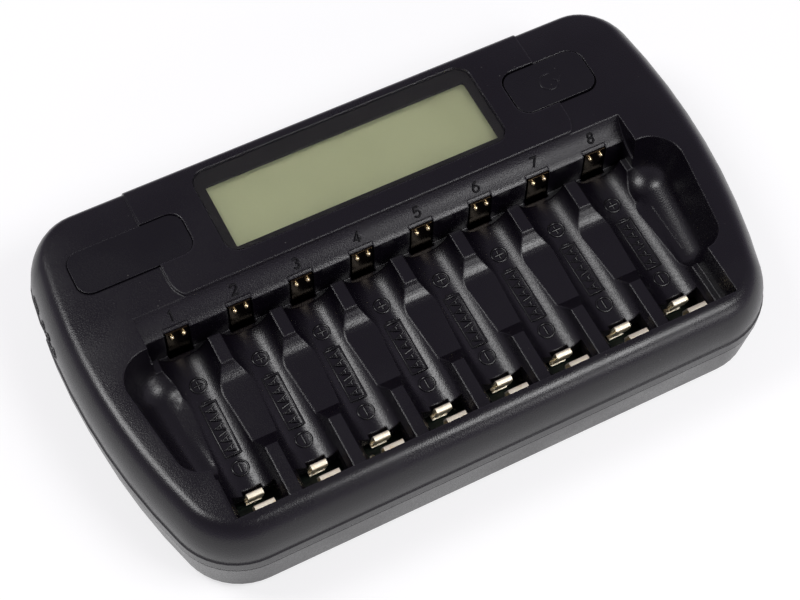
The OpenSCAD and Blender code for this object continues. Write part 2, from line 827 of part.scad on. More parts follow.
// Shorter leaf that leans towards the front, so that an AA cell folds it down
module aaa_contact(i) {
    bend = fold_r - sheet_t / 2;
    fold = [plus_y - aaa_length + preload - aaa_tip_room - fold_r, aaa_leaf_z - fold_r];
    foot = [fold.x + aaa_lean, board_top + seat_gap + fold_r];
    lean = atan2(fold.y - foot.y, fold.x - foot.x);
    free_end = fold + bend * [cos(lean + 90), sin(lean + 90)] - aaa_free_l * [cos(lean), sin(lean)];
    path = concat(
        arc(foot, bend, lean - 270, lean - 90, 8),
        fold_path(fold, bend, fold_bend, lean, 90),
        [free_end]
    );
    color("#c8a24a") translate([bay_x(i), 0, 0]) across(aaa_leaf_w) polygon(ribbon(path, sheet_t));
}

top_case();
bottom_case();
display_lens();
display_glass();
display_holder();
display_strips();
display_board();
display_screws();
mode_button();
badge_plate();
switch_body();
switch_plunger();
main_board();
board_screws();
case_screws();
dc_inlet();
board_link();
control_chip();
charge_transistors();
smoothing_capacitors();
choke_coil();
for (i = [1 : 4]) foot(i);
for (i = bays) plus_contact(i);
for (i = bays) aa_contact(i);
for (i = bays) aaa_contact(i);
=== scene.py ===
"""Looks of an eight-bay battery charger with a display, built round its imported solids.

Lengths are in millimetres up to the point where a mesh is made, and in metres in the scene.
"""

import json
import math

import bpy
import numpy as np
from mathutils import Matrix, Vector

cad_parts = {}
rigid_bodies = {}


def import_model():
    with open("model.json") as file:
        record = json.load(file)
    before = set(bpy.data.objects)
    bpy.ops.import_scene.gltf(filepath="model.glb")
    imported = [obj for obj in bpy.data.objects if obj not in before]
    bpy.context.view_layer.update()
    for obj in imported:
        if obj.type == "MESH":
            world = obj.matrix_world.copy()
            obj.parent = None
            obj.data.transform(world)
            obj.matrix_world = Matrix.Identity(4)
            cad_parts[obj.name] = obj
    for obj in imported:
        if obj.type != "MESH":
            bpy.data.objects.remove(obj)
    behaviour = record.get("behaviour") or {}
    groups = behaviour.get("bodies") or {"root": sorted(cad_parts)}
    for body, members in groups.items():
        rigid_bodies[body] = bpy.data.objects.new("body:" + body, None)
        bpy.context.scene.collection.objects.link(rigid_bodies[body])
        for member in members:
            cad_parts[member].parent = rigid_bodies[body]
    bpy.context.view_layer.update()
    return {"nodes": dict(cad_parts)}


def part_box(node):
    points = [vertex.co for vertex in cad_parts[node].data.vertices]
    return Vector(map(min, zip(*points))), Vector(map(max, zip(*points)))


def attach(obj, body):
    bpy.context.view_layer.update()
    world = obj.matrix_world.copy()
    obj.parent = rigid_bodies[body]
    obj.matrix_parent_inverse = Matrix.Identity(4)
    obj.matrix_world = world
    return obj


MM = 0.001

# Sizes and places of the solids, which the marks and finishes follow
BAY_COUNT = 8
BAY_PITCH = 17.6
TROUGH_R = 7.4
TROUGH_AXIS_Z = 21.9
# Edges of the number bar, as Y and Z
BAR_LOW = (10.0, 24.8)
BAR_HIGH = (15.6, 31.2)
BAR_HOLLOW = 0.6
CASE_W = 184.5
SIDE_R = 180.0
SIDE_WIDEST_Y = 14.0
CASE_LIP_Z = 18.1
TOP_Z = 30.4
EDGE_INSET = 7.0
CREASE = 0.35
# Axis of the supply inlet, as Y and Z
INLET_AXIS = (29.0, 14.8)
INLET_PIN_R = 1.05
PLUS_PLATE_Y = 10.0
PLUS_WINDOW_W = 7.0
DISPLAY_WINDOW_W = 76.8
DISPLAY_WINDOW_D = 20.5
DISPLAY_WINDOW_R = 0.35
DISPLAY_WINDOW_SHIFT = 1.55
FOOT_COUNT = 4
# Keeps the border of a finish off the face it ends at
BORDER_ROOM = 0.05

# Lips over the plus windows: their reach up the bar's slope, from its middle, and their thickness
WINDOW_LIP_REACH = (-3.64, -2.605)
WINDOW_LIP_T = 0.5

# Print behind the lens
LENS_PRINT_GAP = 0.03
LENS_PRINT_T = 0.04
LENS_PRINT_INSET = 0.15
LENS_PRINT_R = 3.85

# Raised strokes: depth of their feet, points across, fall of their shoulders, and the limit at sharp corners
MARK_SINK = 0.08
BEAD_POINTS = 7
BEAD_FALL = 0.75
SHARPEST_CORNER = 0.6

# Bay numbers
NUMBER_HEIGHT = 2.8
NUMBER_LINE = 0.55
NUMBER_RELIEF = 0.42

# Signs in the bays; the letters' places are in letter heights from the middle of the cell
BAY_LINE = 0.6
BAY_RELIEF = 0.34
SIGN_R = 2.1
SIGN_REACH = 0.6
PLUS_Y = -1.5
MINUS_Y = -27.4
CELL_Y = (-7.4, -23.3)
CELL_HALF_W = 2.15
CELL_NUB = (1.0, 0.75)
LETTER_H = 2.5
LETTER_W = 2.0
LETTER_PLACES = (-2.4, -1.3, 0.2, 1.3, 2.4)
SLASH_PLACE = -0.55
SLASH_LEAN = 0.3

# Sign on the button and signs above the supply inlet
MODE_SIGN_R = 2.6
MODE_SIGN_LINE = 0.5
MODE_SIGN_RELIEF = 0.14
SUPPLY_SIGN_Z = 21.2
SUPPLY_SIGN_LINE = 0.4
SUPPLY_SIGN_RELIEF = 0.15

# Points nearer than this are joined, and edges under these angles, in degrees, are shaded smooth
JOIN_DISTANCE = 0.002
SOLID_ANGLE = 30
SHEET_ANGLE = 40
BEAD_ANGLE = 50

# Plastics and rubbers: tone as on a screen, roughness, grain size and depth, soft edge, specular level
PLASTICS = {
    "case_plastic": ((10, 7, 14), 0.31, 0.36, 0.020, 0.6, 0.5),
    "base_plastic": ((11, 8, 15), 0.34, 0.42, 0.022, 0.3, 0.5),
    "button_plastic": ((9, 7, 13), 0.34, 0.40, 0.020, 0.3, 0.5),
    # The marks and signs take a darker tone than the case: painted shade, so that their raised strokes read
    # dark
    "mark_plastic": ((6, 5, 8), 0.55, 0.30, 0.006, 0.1, 0.25),
    "sign_plastic": ((6, 5, 8), 0.30, 0.30, 0.006, 0.1, 0.5),
    "badge_plastic": ((9, 7, 13), 0.28, 0.30, 0.008, 0.3, 0.5),
    "foot_rubber": ((22, 22, 22), 0.75, 0.60, 0.030, 0.4, 0.2),
    "holder_plastic": ((205, 204, 198), 0.45, 0.30, 0.010, 0.2, 0.5),
    "strip_rubber": ((45, 46, 50), 0.7, 0.30, 0.010, 0.1, 0.5),
    "switch_plastic": ((52, 52, 52), 0.5, 0.20, 0.010, 0.1, 0.5),
    "plunger_plastic": ((200, 200, 198), 0.45, 0.20, 0.010, 0.1, 0.5),
    "chip_plastic": ((26, 26, 27), 0.55, 0.25, 0.015, 0.1, 0.5),
    "capacitor_can": ((38, 42, 52), 0.35, 0.50, 0.006, 0.3, 0.5),
    "choke_ferrite": ((62, 50, 40), 0.65, 0.30, 0.030, 0.2, 0.5),
}
DUST_TONE = (150, 148, 142)

# Camera of the photograph, in the frame of the part
CAMERA_AT = (-122.24, -219.65, 445.74)
CAMERA_RIGHT = (0.89030, -0.45512, 0.01512)
CAMERA_UP = (0.38797, 0.77550, 0.49808)
CAMERA_BACK = (-0.23841, -0.43758, 0.86700)
CAMERA_LENS = 84.72
CAMERA_SENSOR = 36.0

# Camera range, room, table and lamps, in metres and watts; a lamp has a direction, distance, size and power
CAMERA_CLIP = (0.01, 50.0)
ROOM_TONE = (0.98, 0.90, 1.10, 1.0)
ROOM_LIGHT = 0.21
WALL_LIGHT = 0.38
TABLE_TONE = (172, 172, 172)
TABLE_LIGHT = 0.65
TABLE_HALF = 6.0
LAMPS = {
    "left_softbox": ((-0.477, 0.296, 0.827), 0.64, (0.20, 0.27), 1.5),
    "front_softbox": ((0.33, -0.45, 0.83), 0.60, (0.23, 0.22), 1.45),
    "low_softbox": ((0.43, -0.80, 0.42), 0.70, (0.28, 0.18), 0.55),
}


def bay_x(number):
    """Middle of a bay, the bays being counted from the left."""
    return (number - (BAY_COUNT + 1) / 2) * BAY_PITCH


# Outlines for the marks, each a path of points in a plane


def arc(centre, radius, start, end, steps):
    """Points on a circle or ellipse from one angle to another, in degrees, both ends included."""
    turn = np.radians(np.linspace(start, end, steps + 1))
    rx, ry = radius if np.ndim(radius) else (radius, radius)
    return np.stack([centre[0] + rx * np.cos(turn), centre[1] + ry * np.sin(turn)], axis=1)


def ring(centre, radius, steps=36):
    """A closed circle, its first point not repeated."""
    return arc(centre, radius, 0, 360, steps)[:-1]


def line(*points):
    """A path through the points given."""
    return np.array(points, float)


def round_rect(width, depth, radius, steps=8):
    """A closed rectangle with round corners, as four quarter circles in a row."""
    x, y = width / 2 - radius, depth / 2 - radius
    corners = [((x, y), 0), ((-x, y), 90), ((-x, -y), 180), ((x, -y), 270)]
    return np.concatenate([arc(c, radius, a, a + 90, steps) for c, a in corners])


def figure(number):
    """The strokes of a plain numeral, one unit high, standing on the line y = 0."""
    flag = line((0.25, 1.0), (-0.2, 1.0), (-0.24, 0.56))
    stem = arc((0.22, 0.30), (0.52, 0.70), 92, 176, 8)
    shapes = {
        1: [line((-0.16, 0.80), (0.05, 1.0), (0.05, 0.0))],
        2: [np.concatenate([arc((0, 0.71), 0.29, 165, -35, 14), line((-0.28, 0.0), (0.30, 0.0))])],
        3: [np.concatenate([arc((0, 0.76), 0.24, 150, -80, 12), arc((0, 0.27), 0.27, 80, -150, 14)])],
        4: [line((0.14, 0.0), (0.14, 1.0), (-0.31, 0.28), (0.34, 0.28))],
        5: [np.concatenate([flag, arc((0, 0.31), 0.31, 118, -150, 14)])],
        6: [np.concatenate([stem, arc((0, 0.30), 0.30, 180, 530, 22)])],
        7: [line((-0.29, 1.0), (0.29, 1.0), (-0.08, 0.0))],
        8: [ring((0, 0.76), 0.24, 22), ring((0, 0.27), 0.27, 24)],
    }
    return [(path, number == 8) for path in shapes[number]]


def letter_a(x, y):
    """A capital A about a place, its foot towards +x so that it reads along the bay."""
    half, tall = LETTER_W / 2, LETTER_H / 2
    legs = line((x + tall, y - half), (x - tall, y), (x + tall, y + half))
    bar_x, bar_half = x + 0.35 * tall, 0.66 * half
    bar = line((bar_x, y - bar_half), (bar_x, y + bar_half))
    return [(legs, False), (bar, False)]


# Relief: rounded strokes laid on a surface


def stroke_frame(path, closed):
    """Sideways direction at each point of a path, lengthened at corners so that the width holds."""
    ahead = np.roll(path, -1, axis=0) - path
    if not closed:
        ahead[-1] = ahead[-2]
    ahead /= np.linalg.norm(ahead, axis=1, keepdims=True)
    behind = np.roll(ahead, 1, axis=0)
    if not closed:
        behind[0] = ahead[0]
    along = ahead + behind
    along /= np.linalg.norm(along, axis=1, keepdims=True)
    spread = 1 / np.clip(np.sum(along * ahead, axis=1), SHARPEST_CORNER, 1.0)
    return np.stack([-along[:, 1], along[:, 0]], axis=1) * spread[:, None]


def relief_stroke(path, closed, width, height):
    """A bead along a path: the crown of an ellipse across, with both feet sunk below the surface.

    Gives points (u, v, height) as an array of path by section, and the faces between them."""
    across = np.cos(np.linspace(math.pi, 0, BEAD_POINTS))
    section_s = np.concatenate([[-1.0], across, [1.0]]) * width / 2
    crown = height * np.sqrt(1 - across**2 * BEAD_FALL)
    section_h = np.concatenate([[-MARK_SINK], crown, [-MARK_SINK]])
    side = stroke_frame(path, closed)
    count, ring_size = len(path), len(section_s)
    flat = path[:, None, :] + side[:, None, :] * section_s[None, :, None]
    tall = np.broadcast_to(section_h[None, :, None], (count, ring_size, 1))
    points = np.concatenate([flat, tall], axis=2).reshape(-1, 3)
    rows = np.arange(count if closed else count - 1)
    a = rows[:, None] * ring_size + np.arange(ring_size)[None, :]
    b = ((rows[:, None] + 1) % count) * ring_size + np.arange(ring_size)[None, :]
    faces = np.stack([a, b, np.roll(b, -1, 1), np.roll(a, -1, 1)], axis=2).reshape(-1, 4).tolist()
    if not closed:
        faces.append(list(range(ring_size)))
        faces.append([(count - 1) * ring_size + k for k in range(ring_size - 1, -1, -1)])
    return points, faces


def put_mesh(name, points_mm, faces, material, body, smooth=True):
    """A piece at the origin whose mesh holds its place, riding on a body."""
    mesh = bpy.data.meshes.new(name)
    mesh.from_pydata((np.asarray(points_mm) * MM).tolist(), [], faces)
    mesh.validate()
    mesh.polygons.foreach_set("use_smooth", np.full(len(mesh.polygons), smooth))
    mesh.materials.append(material)
    piece = bpy.data.objects.new(name, mesh)
    bpy.context.scene.collection.objects.link(piece)
    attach(piece, body)
    return piece


def emboss(name, strokes, place, width, height, material, body):
    """Raises strokes on a surface; place turns (u, v, height) into points of the part."""
    points, faces, first = [], [], 0
    for path, closed in strokes:
        p, f = relief_stroke(path, closed, width, height)
        points.append(place(p[:, 0], p[:, 1], p[:, 2]))
        faces += [[k + first for k in face] for face in f]
        first += len(p)
    piece = put_mesh(name, np.concatenate(points), faces, material, body)
    add_soft_shading(piece, BEAD_ANGLE)
    return piece


# Surfaces that carry marks


def on_bar(centre_x):
    """Hollow number bar: part of a cylinder along X; v runs up its slope from the middle."""
    low, high = np.array(BAR_LOW), np.array(BAR_HIGH)
    chord = high - low
    length = np.linalg.norm(chord)
    radius = length**2 / (8 * BAR_HOLLOW) + BAR_HOLLOW / 2
    inward = np.array([-chord[1], chord[0]]) / length
    centre = (low + high) / 2 + inward * (radius - BAR_HOLLOW)

    def place(u, v, h):
        turn = v / radius
        away = -inward[None, :] * np.cos(turn)[:, None] + (chord / length)[None, :] * np.sin(turn)[:, None]
        yz = centre[None, :] + away * (radius - h)[:, None]
        return np.stack([centre_x + u, yz[:, 0], yz[:, 1]], axis=1)

    return place


def on_trough(centre_x):
    """Trough of a bay: part of a cylinder along Y; u runs round it from its lowest line, v along Y."""

    def place(u, v, h):
        turn = u / TROUGH_R
        reach = TROUGH_R - h
        return np.stack([centre_x + reach * np.sin(turn), v, TROUGH_AXIS_Z - reach * np.cos(turn)], axis=1)

    return place


def on_flat(centre, z):
    """A level face; u and v are X and Y from a centre."""

    def place(u, v, h):
        return np.stack([centre[0] + u, centre[1] + v, z + h], axis=1)

    return place


def on_left_side(centre_y, centre_z):
    """Left side of the upper half, above its lip: an arc seen from above, drawn in by an ellipse.

    u runs towards the front, v up; the height stands square to the arc."""

    def place(u, v, h):
        z = centre_z + v
        rise = np.clip((z - CASE_LIP_Z - CREASE) / (TOP_Z - CASE_LIP_Z - CREASE), 0, 1)
        inset = CREASE + (EDGE_INSET - CREASE) * (1 - np.sqrt(1 - rise**2))
        turn = (centre_y - u - SIDE_WIDEST_Y) / SIDE_R
        reach = SIDE_R - inset + h
        x = -(CASE_W / 2 - SIDE_R + reach * np.cos(turn))
        return np.stack([x, SIDE_WIDEST_Y + reach * np.sin(turn), z], axis=1)

    return place


# Shader building


class Nodes:
    """Shorthand for a node tree: makes nodes, sets their inputs and joins them."""

    def __init__(self, tree):
        self.tree = tree

    def add(self, kind, inputs=None, **settings):
        """A new node with its settings, and its inputs fed by label."""
        node = self.tree.nodes.new(kind)
        for key, value in settings.items():
            setattr(node, key, value)
        for key, value in (inputs or {}).items():
            self.feed(node.inputs[key], value)
        return node

    def feed(self, socket, value):
        """Joins a socket to another one, or gives it a plain value."""
        if isinstance(value, bpy.types.NodeSocket):
            self.tree.links.new(value, socket)
        else:
            socket.default_value = value

    def math(self, operation, a, b=0.0):
        """The result of one operation on two values."""
        node = self.add("ShaderNodeMath", operation=operation)
        self.feed(node.inputs[0], a)
        self.feed(node.inputs[1], b)
        return node.outputs[0]

    def noise(self, where, scale, detail=2.0, rough=0.5):
        """Cloudy noise from 0 to 1."""
        settings = {"Vector": where, "Scale": scale, "Detail": detail, "Roughness": rough}
        return self.add("ShaderNodeTexNoise", settings).outputs["Fac"]

    def ramp(self, value, low, high, out_low=0.0, out_high=1.0):
        """A smooth step from one value to another while the input runs from low to high."""
        reach = {"From Min": low, "From Max": high, "To Min": out_low, "To Max": out_high}
        settings = {"Value": value, **reach}
        return self.add("ShaderNodeMapRange", settings, interpolation_type="SMOOTHSTEP").outputs["Result"]

    def mix(self, factor, a, b):
        """A colour between two others."""
        node = self.add("ShaderNodeMix", data_type="RGBA")
        for socket, value in zip((node.inputs[0], node.inputs[6], node.inputs[7]), (factor, a, b)):
            self.feed(socket, value)
        return node.outputs[2]


def colour(red, green, blue):
    """A colour written as on a screen, turned into linear light."""
    parts = np.array([red, green, blue]) / 255.0
    low = parts / 12.92
    high = ((parts + 0.055) / 1.055) ** 2.4
    return (*np.where(parts <= 0.04045, low, high).tolist(), 1.0)


def new_group(name, inputs, outputs):
    """An empty shader group with named float inputs and named outputs."""
    tree = bpy.data.node_groups.new(name, "ShaderNodeTree")
    for label, default in inputs:
        socket = tree.interface.new_socket(label, in_out="INPUT", socket_type="NodeSocketFloat")
        socket.default_value = default
    for label, kind in outputs:
        tree.interface.new_socket(label, in_out="OUTPUT", socket_type=kind)
    n = Nodes(tree)
    return n, n.add("NodeGroupInput"), n.add("NodeGroupOutput")


def make_spark_grain():
    """Fine pits and peaks of a spark-eroded mould: fine and coarse noise, and pits between cells."""
    n, inside, out = new_group(
        "spark_grain",
        [("Size mm", 0.35), ("Coarse", 0.4)],
        [("Height", "NodeSocketFloat"), ("Speckle", "NodeSocketFloat")],
    )
    where = n.add("ShaderNodeTexCoord").outputs["Object"]
    per_metre = n.math("DIVIDE", 1.0 / MM, inside.outputs["Size mm"])
    fine = n.noise(where, per_metre, 2.0, 0.6)
    cells = n.add("ShaderNodeTexVoronoi", {"Vector": where, "Scale": n.math("MULTIPLY", per_metre, 0.8)})
    pits = n.ramp(cells.outputs["Distance"], 0.1, 0.75)
    coarse = n.noise(where, n.math("MULTIPLY", per_metre, 0.35), 2.0, 0.5)
    height = n.math("ADD", fine, n.math("MULTIPLY", pits, 0.5))
    height = n.math("ADD", height, n.math("MULTIPLY", coarse, inside.outputs["Coarse"]))
    n.feed(out.inputs["Height"], height)
    n.feed(out.inputs["Speckle"], n.ramp(height, 0.75, 1.25))
    return n.tree


def make_handling():
    """Slow changes of finish over a surface: broad cloud where it was handled, and thin dust specks."""
    n, inside, out = new_group(
        "handling",
        [("Cloud mm", 30.0), ("Dust", 0.3)],
        [("Cloud", "NodeSocketFloat"), ("Dust mask", "NodeSocketFloat")],
    )
    where = n.add("ShaderNodeTexCoord").outputs["Object"]
    cloud = n.noise(where, n.math("DIVIDE", 1.0 / MM, inside.outputs["Cloud mm"]), 3.0, 0.55)
    specks = n.add("ShaderNodeTexVoronoi", {"Vector": where, "Scale": 420.0})
    spots = n.ramp(specks.outputs["Distance"], 0.1, 0.04)
    sparse = n.ramp(n.noise(where, 160.0, 1.0), 0.56, 0.7)
    n.feed(out.inputs["Cloud"], n.ramp(cloud, 0.3, 0.7))
    specked = n.math("MULTIPLY", spots, sparse)
    n.feed(out.inputs["Dust mask"], n.math("MULTIPLY", specked, inside.outputs["Dust"]))
    return n.tree


def new_material(name):
    """A material with an empty tree but for its shader and output."""
    material = bpy.data.materials.new(name)
    material.use_nodes = True
    material.node_tree.nodes.clear()
    n = Nodes(material.node_tree)
    shader = n.add("ShaderNodeBsdfPrincipled")
    output = n.add("ShaderNodeOutputMaterial")
    n.tree.links.new(shader.outputs[0], output.inputs["Surface"])
    return material, n, shader


def place_group(n, tree, **inputs):
    """Puts a shared group into a material with its own values, and gives its outputs."""
    node = n.add("ShaderNodeGroup", node_tree=tree)
    for label, value in inputs.items():
        n.feed(node.inputs[label.replace("_", " ")], value)
    return node.outputs


def moulded_plastic(name):
    """Moulded plastic or rubber: spark grain as bump and speckle, a soft edge, and slow changes of gloss."""
    tone, roughness, grain_mm, grain_depth, edge_mm, specular = PLASTICS[name]
    material, n, shader = new_material(name)
    grain = place_group(n, GROUPS["grain"], Size_mm=grain_mm, Coarse=0.4)
    hands = place_group(n, GROUPS["handling"], Cloud_mm=28.0, Dust=0.25)
    middle = colour(*tone)[:3]
    dark = tuple(c * 0.8 for c in middle) + (1.0,)
    light = tuple(min(1.0, c * 1.25) for c in middle) + (1.0,)
    body = n.mix(grain["Speckle"], dark, light)
    n.feed(shader.inputs["Base Color"], n.mix(hands["Dust mask"], body, colour(*DUST_TONE)))
    gloss = n.ramp(hands["Cloud"], 0.0, 1.0, roughness - 0.03, roughness + 0.04)
    n.feed(shader.inputs["Roughness"], n.math("ADD", gloss, n.math("MULTIPLY", grain["Speckle"], -0.06)))
    shader.inputs["Specular IOR Level"].default_value = specular
    edge = n.add("ShaderNodeBevel", {"Radius": edge_mm * MM}, samples=6)
    bump = n.add("ShaderNodeBump", {"Strength": 1.0, "Distance": grain_depth * MM})
    n.feed(bump.inputs["Height"], grain["Height"])
    n.feed(bump.inputs["Normal"], edge.outputs[0])
    n.feed(shader.inputs["Normal"], bump.outputs[0])
    return material


def clear_lens(name):
    """Clear cast acrylic with a polished face."""
    material, n, shader = new_material(name)
    shader.inputs["Base Color"].default_value = (0.96, 0.97, 0.95, 1.0)
    shader.inputs["Transmission Weight"].default_value = 1.0
    shader.inputs["IOR"].default_value = 1.49
    hands = place_group(n, GROUPS["handling"], Cloud_mm=22.0, Dust=0.0)
    n.feed(shader.inputs["Roughness"], n.ramp(hands["Cloud"], 0.0, 1.0, 0.01, 0.035))
    return material


def printed_border(name):
    """Dark screen print behind the lens, a little warm, with a fine mesh in the ink."""
    material, n, shader = new_material(name)
    grain = place_group(n, GROUPS["grain"], Size_mm=0.2, Coarse=0.2)
    n.feed(shader.inputs["Base Color"], n.mix(grain["Speckle"], colour(30, 29, 27), colour(38, 36, 34)))
    shader.inputs["Roughness"].default_value = 0.6
    shader.inputs["Specular IOR Level"].default_value = 0.2
    return material


def display_face(name):
    """Reflective display with nothing shown: a green grey film with a faint grid of dots below it."""
    material, n, shader = new_material(name)
    where = n.add("ShaderNodeTexCoord").outputs["Object"]
    hands = place_group(n, GROUPS["handling"], Cloud_mm=26.0, Dust=0.0)
    # The film's tones are lighter than the display's own: painted light that makes up for light lost under
    # the lens
    film = n.mix(hands["Cloud"], colour(202, 206, 161), colour(208, 212, 167))
    dots = n.add("ShaderNodeTexBrick", {"Vector": where, "Scale": 1000.0})
    dots.offset = 0.0
    for label, value in (("Brick Width", 0.6), ("Row Height", 0.6), ("Mortar Size", 0.03)):
        dots.inputs[label].default_value = value
    grid = n.math("MULTIPLY", dots.outputs["Fac"], 0.1)
    n.feed(shader.inputs["Base Color"], n.mix(grid, film, colour(168, 174, 132)))
    n.feed(shader.inputs["Roughness"], n.ramp(hands["Cloud"], 0.0, 1.0, 0.3, 0.36))
    shader.inputs["Specular IOR Level"].default_value = 0.3
    return material


def plated_metal(name, tone, worn_tone, roughness, streak_mm, streak_depth=0.008, painted_highlight=None):
    """Plated sheet metal: rolling streaks along Z, with spots where the plating has thinned.

    The last argument, when given, is a place on Y and a light tone: what stands further forward is painted
    in that tone, a painted highlight."""
    material, n, shader = new_material(name)
    where = n.add("ShaderNodeTexCoord").outputs["Object"]
    stretched = n.add("ShaderNodeMapping", {"Vector": where, "Scale": (1.0, 1.0, 0.08)}).outputs[0]
    streaks = n.noise(stretched, 1 / (streak_mm * MM), 3.0, 0.6)
    spots = n.ramp(n.noise(where, 700.0, 3.0, 0.6), 0.5, 0.72)
    sheet = n.mix(n.math("MULTIPLY", spots, 0.6), tone, worn_tone)
    # Painted highlight: what stands forward of the given place takes the light tone
    if painted_highlight:
        along_y = n.add("ShaderNodeSeparateXYZ", {"Vector": where}).outputs["Y"]
        sheet = n.mix(n.math("LESS_THAN", along_y, painted_highlight[0] * MM), sheet, painted_highlight[1])
    n.feed(shader.inputs["Base Color"], sheet)
    n.feed(shader.inputs["Roughness"], n.ramp(streaks, 0.25, 0.75, roughness - 0.06, roughness + 0.1))
    shader.inputs["Metallic"].default_value = 1.0
    edge = n.add("ShaderNodeBevel", {"Radius": 0.12 * MM}, samples=4)
    bump = n.add("ShaderNodeBump", {"Strength": 0.4, "Distance": streak_depth * MM})
    n.feed(bump.inputs["Height"], streaks)
    n.feed(bump.inputs["Normal"], edge.outputs[0])
    n.feed(shader.inputs["Normal"], bump.outputs[0])
    return material


def circuit_board(name):
    """Green solder mask over copper tracks, darkened to near black as painted shade inside the case: the
    rows of a brick pattern, with round tinned pads.
    """
    material, n, shader = new_material(name)
    where = n.add("ShaderNodeTexCoord").outputs["Object"]
    tracks = n.add("ShaderNodeTexBrick", {"Vector": where, "Scale": 1000.0})
    for label, value in (("Brick Width", 9.0), ("Row Height", 1.1), ("Mortar Size", 0.22)):
        tracks.inputs[label].default_value = value
    pads = n.add("ShaderNodeTexVoronoi", {"Vector": where, "Scale": 170.0})
    pad = n.ramp(pads.outputs["Distance"], 0.14, 0.11)
    # Painted shade: the mask's green is darkened to near black, as the inside of the case lies in shade
    mask = n.mix(tracks.outputs["Fac"], colour(8, 20, 13), colour(12, 30, 18))
    n.feed(shader.inputs["Base Color"], n.mix(pad, mask, colour(170, 165, 150)))
    n.feed(shader.inputs["Metallic"], n.math("MULTIPLY", pad, 0.9))
    n.feed(shader.inputs["Roughness"], n.ramp(pad, 0.0, 1.0, 0.42, 0.3))
    bump = n.add("ShaderNodeBump", {"Strength": 0.5, "Distance": 0.03 * MM})
    n.feed(bump.inputs["Height"], tracks.outputs["Fac"])
    n.feed(shader.inputs["Normal"], bump.outputs[0])
    return material


def inlet_housing(name):
    """Black housing with a plated pin: metal within a short distance of the inlet's own axis."""
    material, n, shader = new_material(name)
    where = n.add("ShaderNodeTexCoord").outputs["Object"]
    parts = n.add("ShaderNodeSeparateXYZ", {"Vector": where})
    dy = n.math("SUBTRACT", parts.outputs["Y"], INLET_AXIS[0] * MM)
    dz = n.math("SUBTRACT", parts.outputs["Z"], INLET_AXIS[1] * MM)
    apart = n.math("SQRT", n.math("ADD", n.math("MULTIPLY", dy, dy), n.math("MULTIPLY", dz, dz)))
    pin = n.math("LESS_THAN", apart, (INLET_PIN_R + BORDER_ROOM) * MM)
    grain = place_group(n, GROUPS["grain"], Size_mm=0.3, Coarse=0.3)
    housing = n.mix(grain["Speckle"], colour(20, 20, 21), colour(30, 30, 31))
    n.feed(shader.inputs["Base Color"], n.mix(pin, housing, colour(205, 203, 196)))
    n.feed(shader.inputs["Metallic"], pin)
    n.feed(shader.inputs["Roughness"], n.ramp(pin, 0.0, 1.0, 0.5, 0.28))
    return material


def make_soft_shading():
    """Joins the loose triangles of a solid and shades it smooth across edges under an angle."""
    tree = bpy.data.node_groups.new("soft_shading", "GeometryNodeTree")
    tree.interface.new_socket("Geometry", in_out="INPUT", socket_type="NodeSocketGeometry")
    angle = tree.interface.new_socket("Angle", in_out="INPUT", socket_type="NodeSocketFloat")
    angle.default_value = math.radians(SOLID_ANGLE)
    tree.interface.new_socket("Geometry", in_out="OUTPUT", socket_type="NodeSocketGeometry")
    n = Nodes(tree)
    inside = n.add("NodeGroupInput")
    out = n.add("NodeGroupOutput")
    plain = n.add("GeometryNodeRemoveAttribute", {"Geometry": inside.outputs[0], "Name": "custom_normal"})
    joined = n.add("GeometryNodeMergeByDistance", {"Geometry": plain.outputs[0]})
    n.feed(joined.inputs["Distance"], JOIN_DISTANCE * MM)
    bend = n.add("GeometryNodeInputMeshEdgeAngle")
    soft = n.add("FunctionNodeCompare", data_type="FLOAT", operation="LESS_EQUAL")
    n.feed(soft.inputs[0], bend.outputs["Unsigned Angle"])
    n.feed(soft.inputs[1], inside.outputs["Angle"])
    edges = n.add("GeometryNodeSetShadeSmooth", {"Geometry": joined.outputs[0]}, domain="EDGE")
    n.feed(edges.inputs["Shade Smooth"], soft.outputs[0])
    faces = n.add("GeometryNodeSetShadeSmooth", {"Geometry": edges.outputs[0]}, domain="FACE")
    n.feed(faces.inputs["Shade Smooth"], True)
    n.feed(out.inputs[0], faces.outputs[0])
    return tree


def add_soft_shading(piece, degrees):
    """Adds the shared shading group to a piece, with its own angle."""
    modifier = piece.modifiers.new("soft_shading", "NODES")
    modifier.node_group = GROUPS["shading"]
    for item in GROUPS["shading"].interface.items_tree:
        if item.name == "Angle":
            modifier[item.identifier] = math.radians(degrees)


def dress(names, material, angle=SOLID_ANGLE):
    """Gives CAD nodes a material and joined, smooth shading."""
    for name in names:
        node = frame["nodes"][name]
        for slot in node.material_slots:
            slot.material = material
        add_soft_shading(node, angle)


# The pieces that only the looks need


def bay_numbers(material):
    """Raised numerals 1 to 8 in the middle of the number bar."""
    for number in range(1, BAY_COUNT + 1):
        strokes = [((path - (0, 0.5)) * NUMBER_HEIGHT, closed) for path, closed in figure(number)]
        emboss(f"bay_number_{number}", strokes, on_bar(bay_x(number)), NUMBER_LINE, NUMBER_RELIEF,
               material, "case")


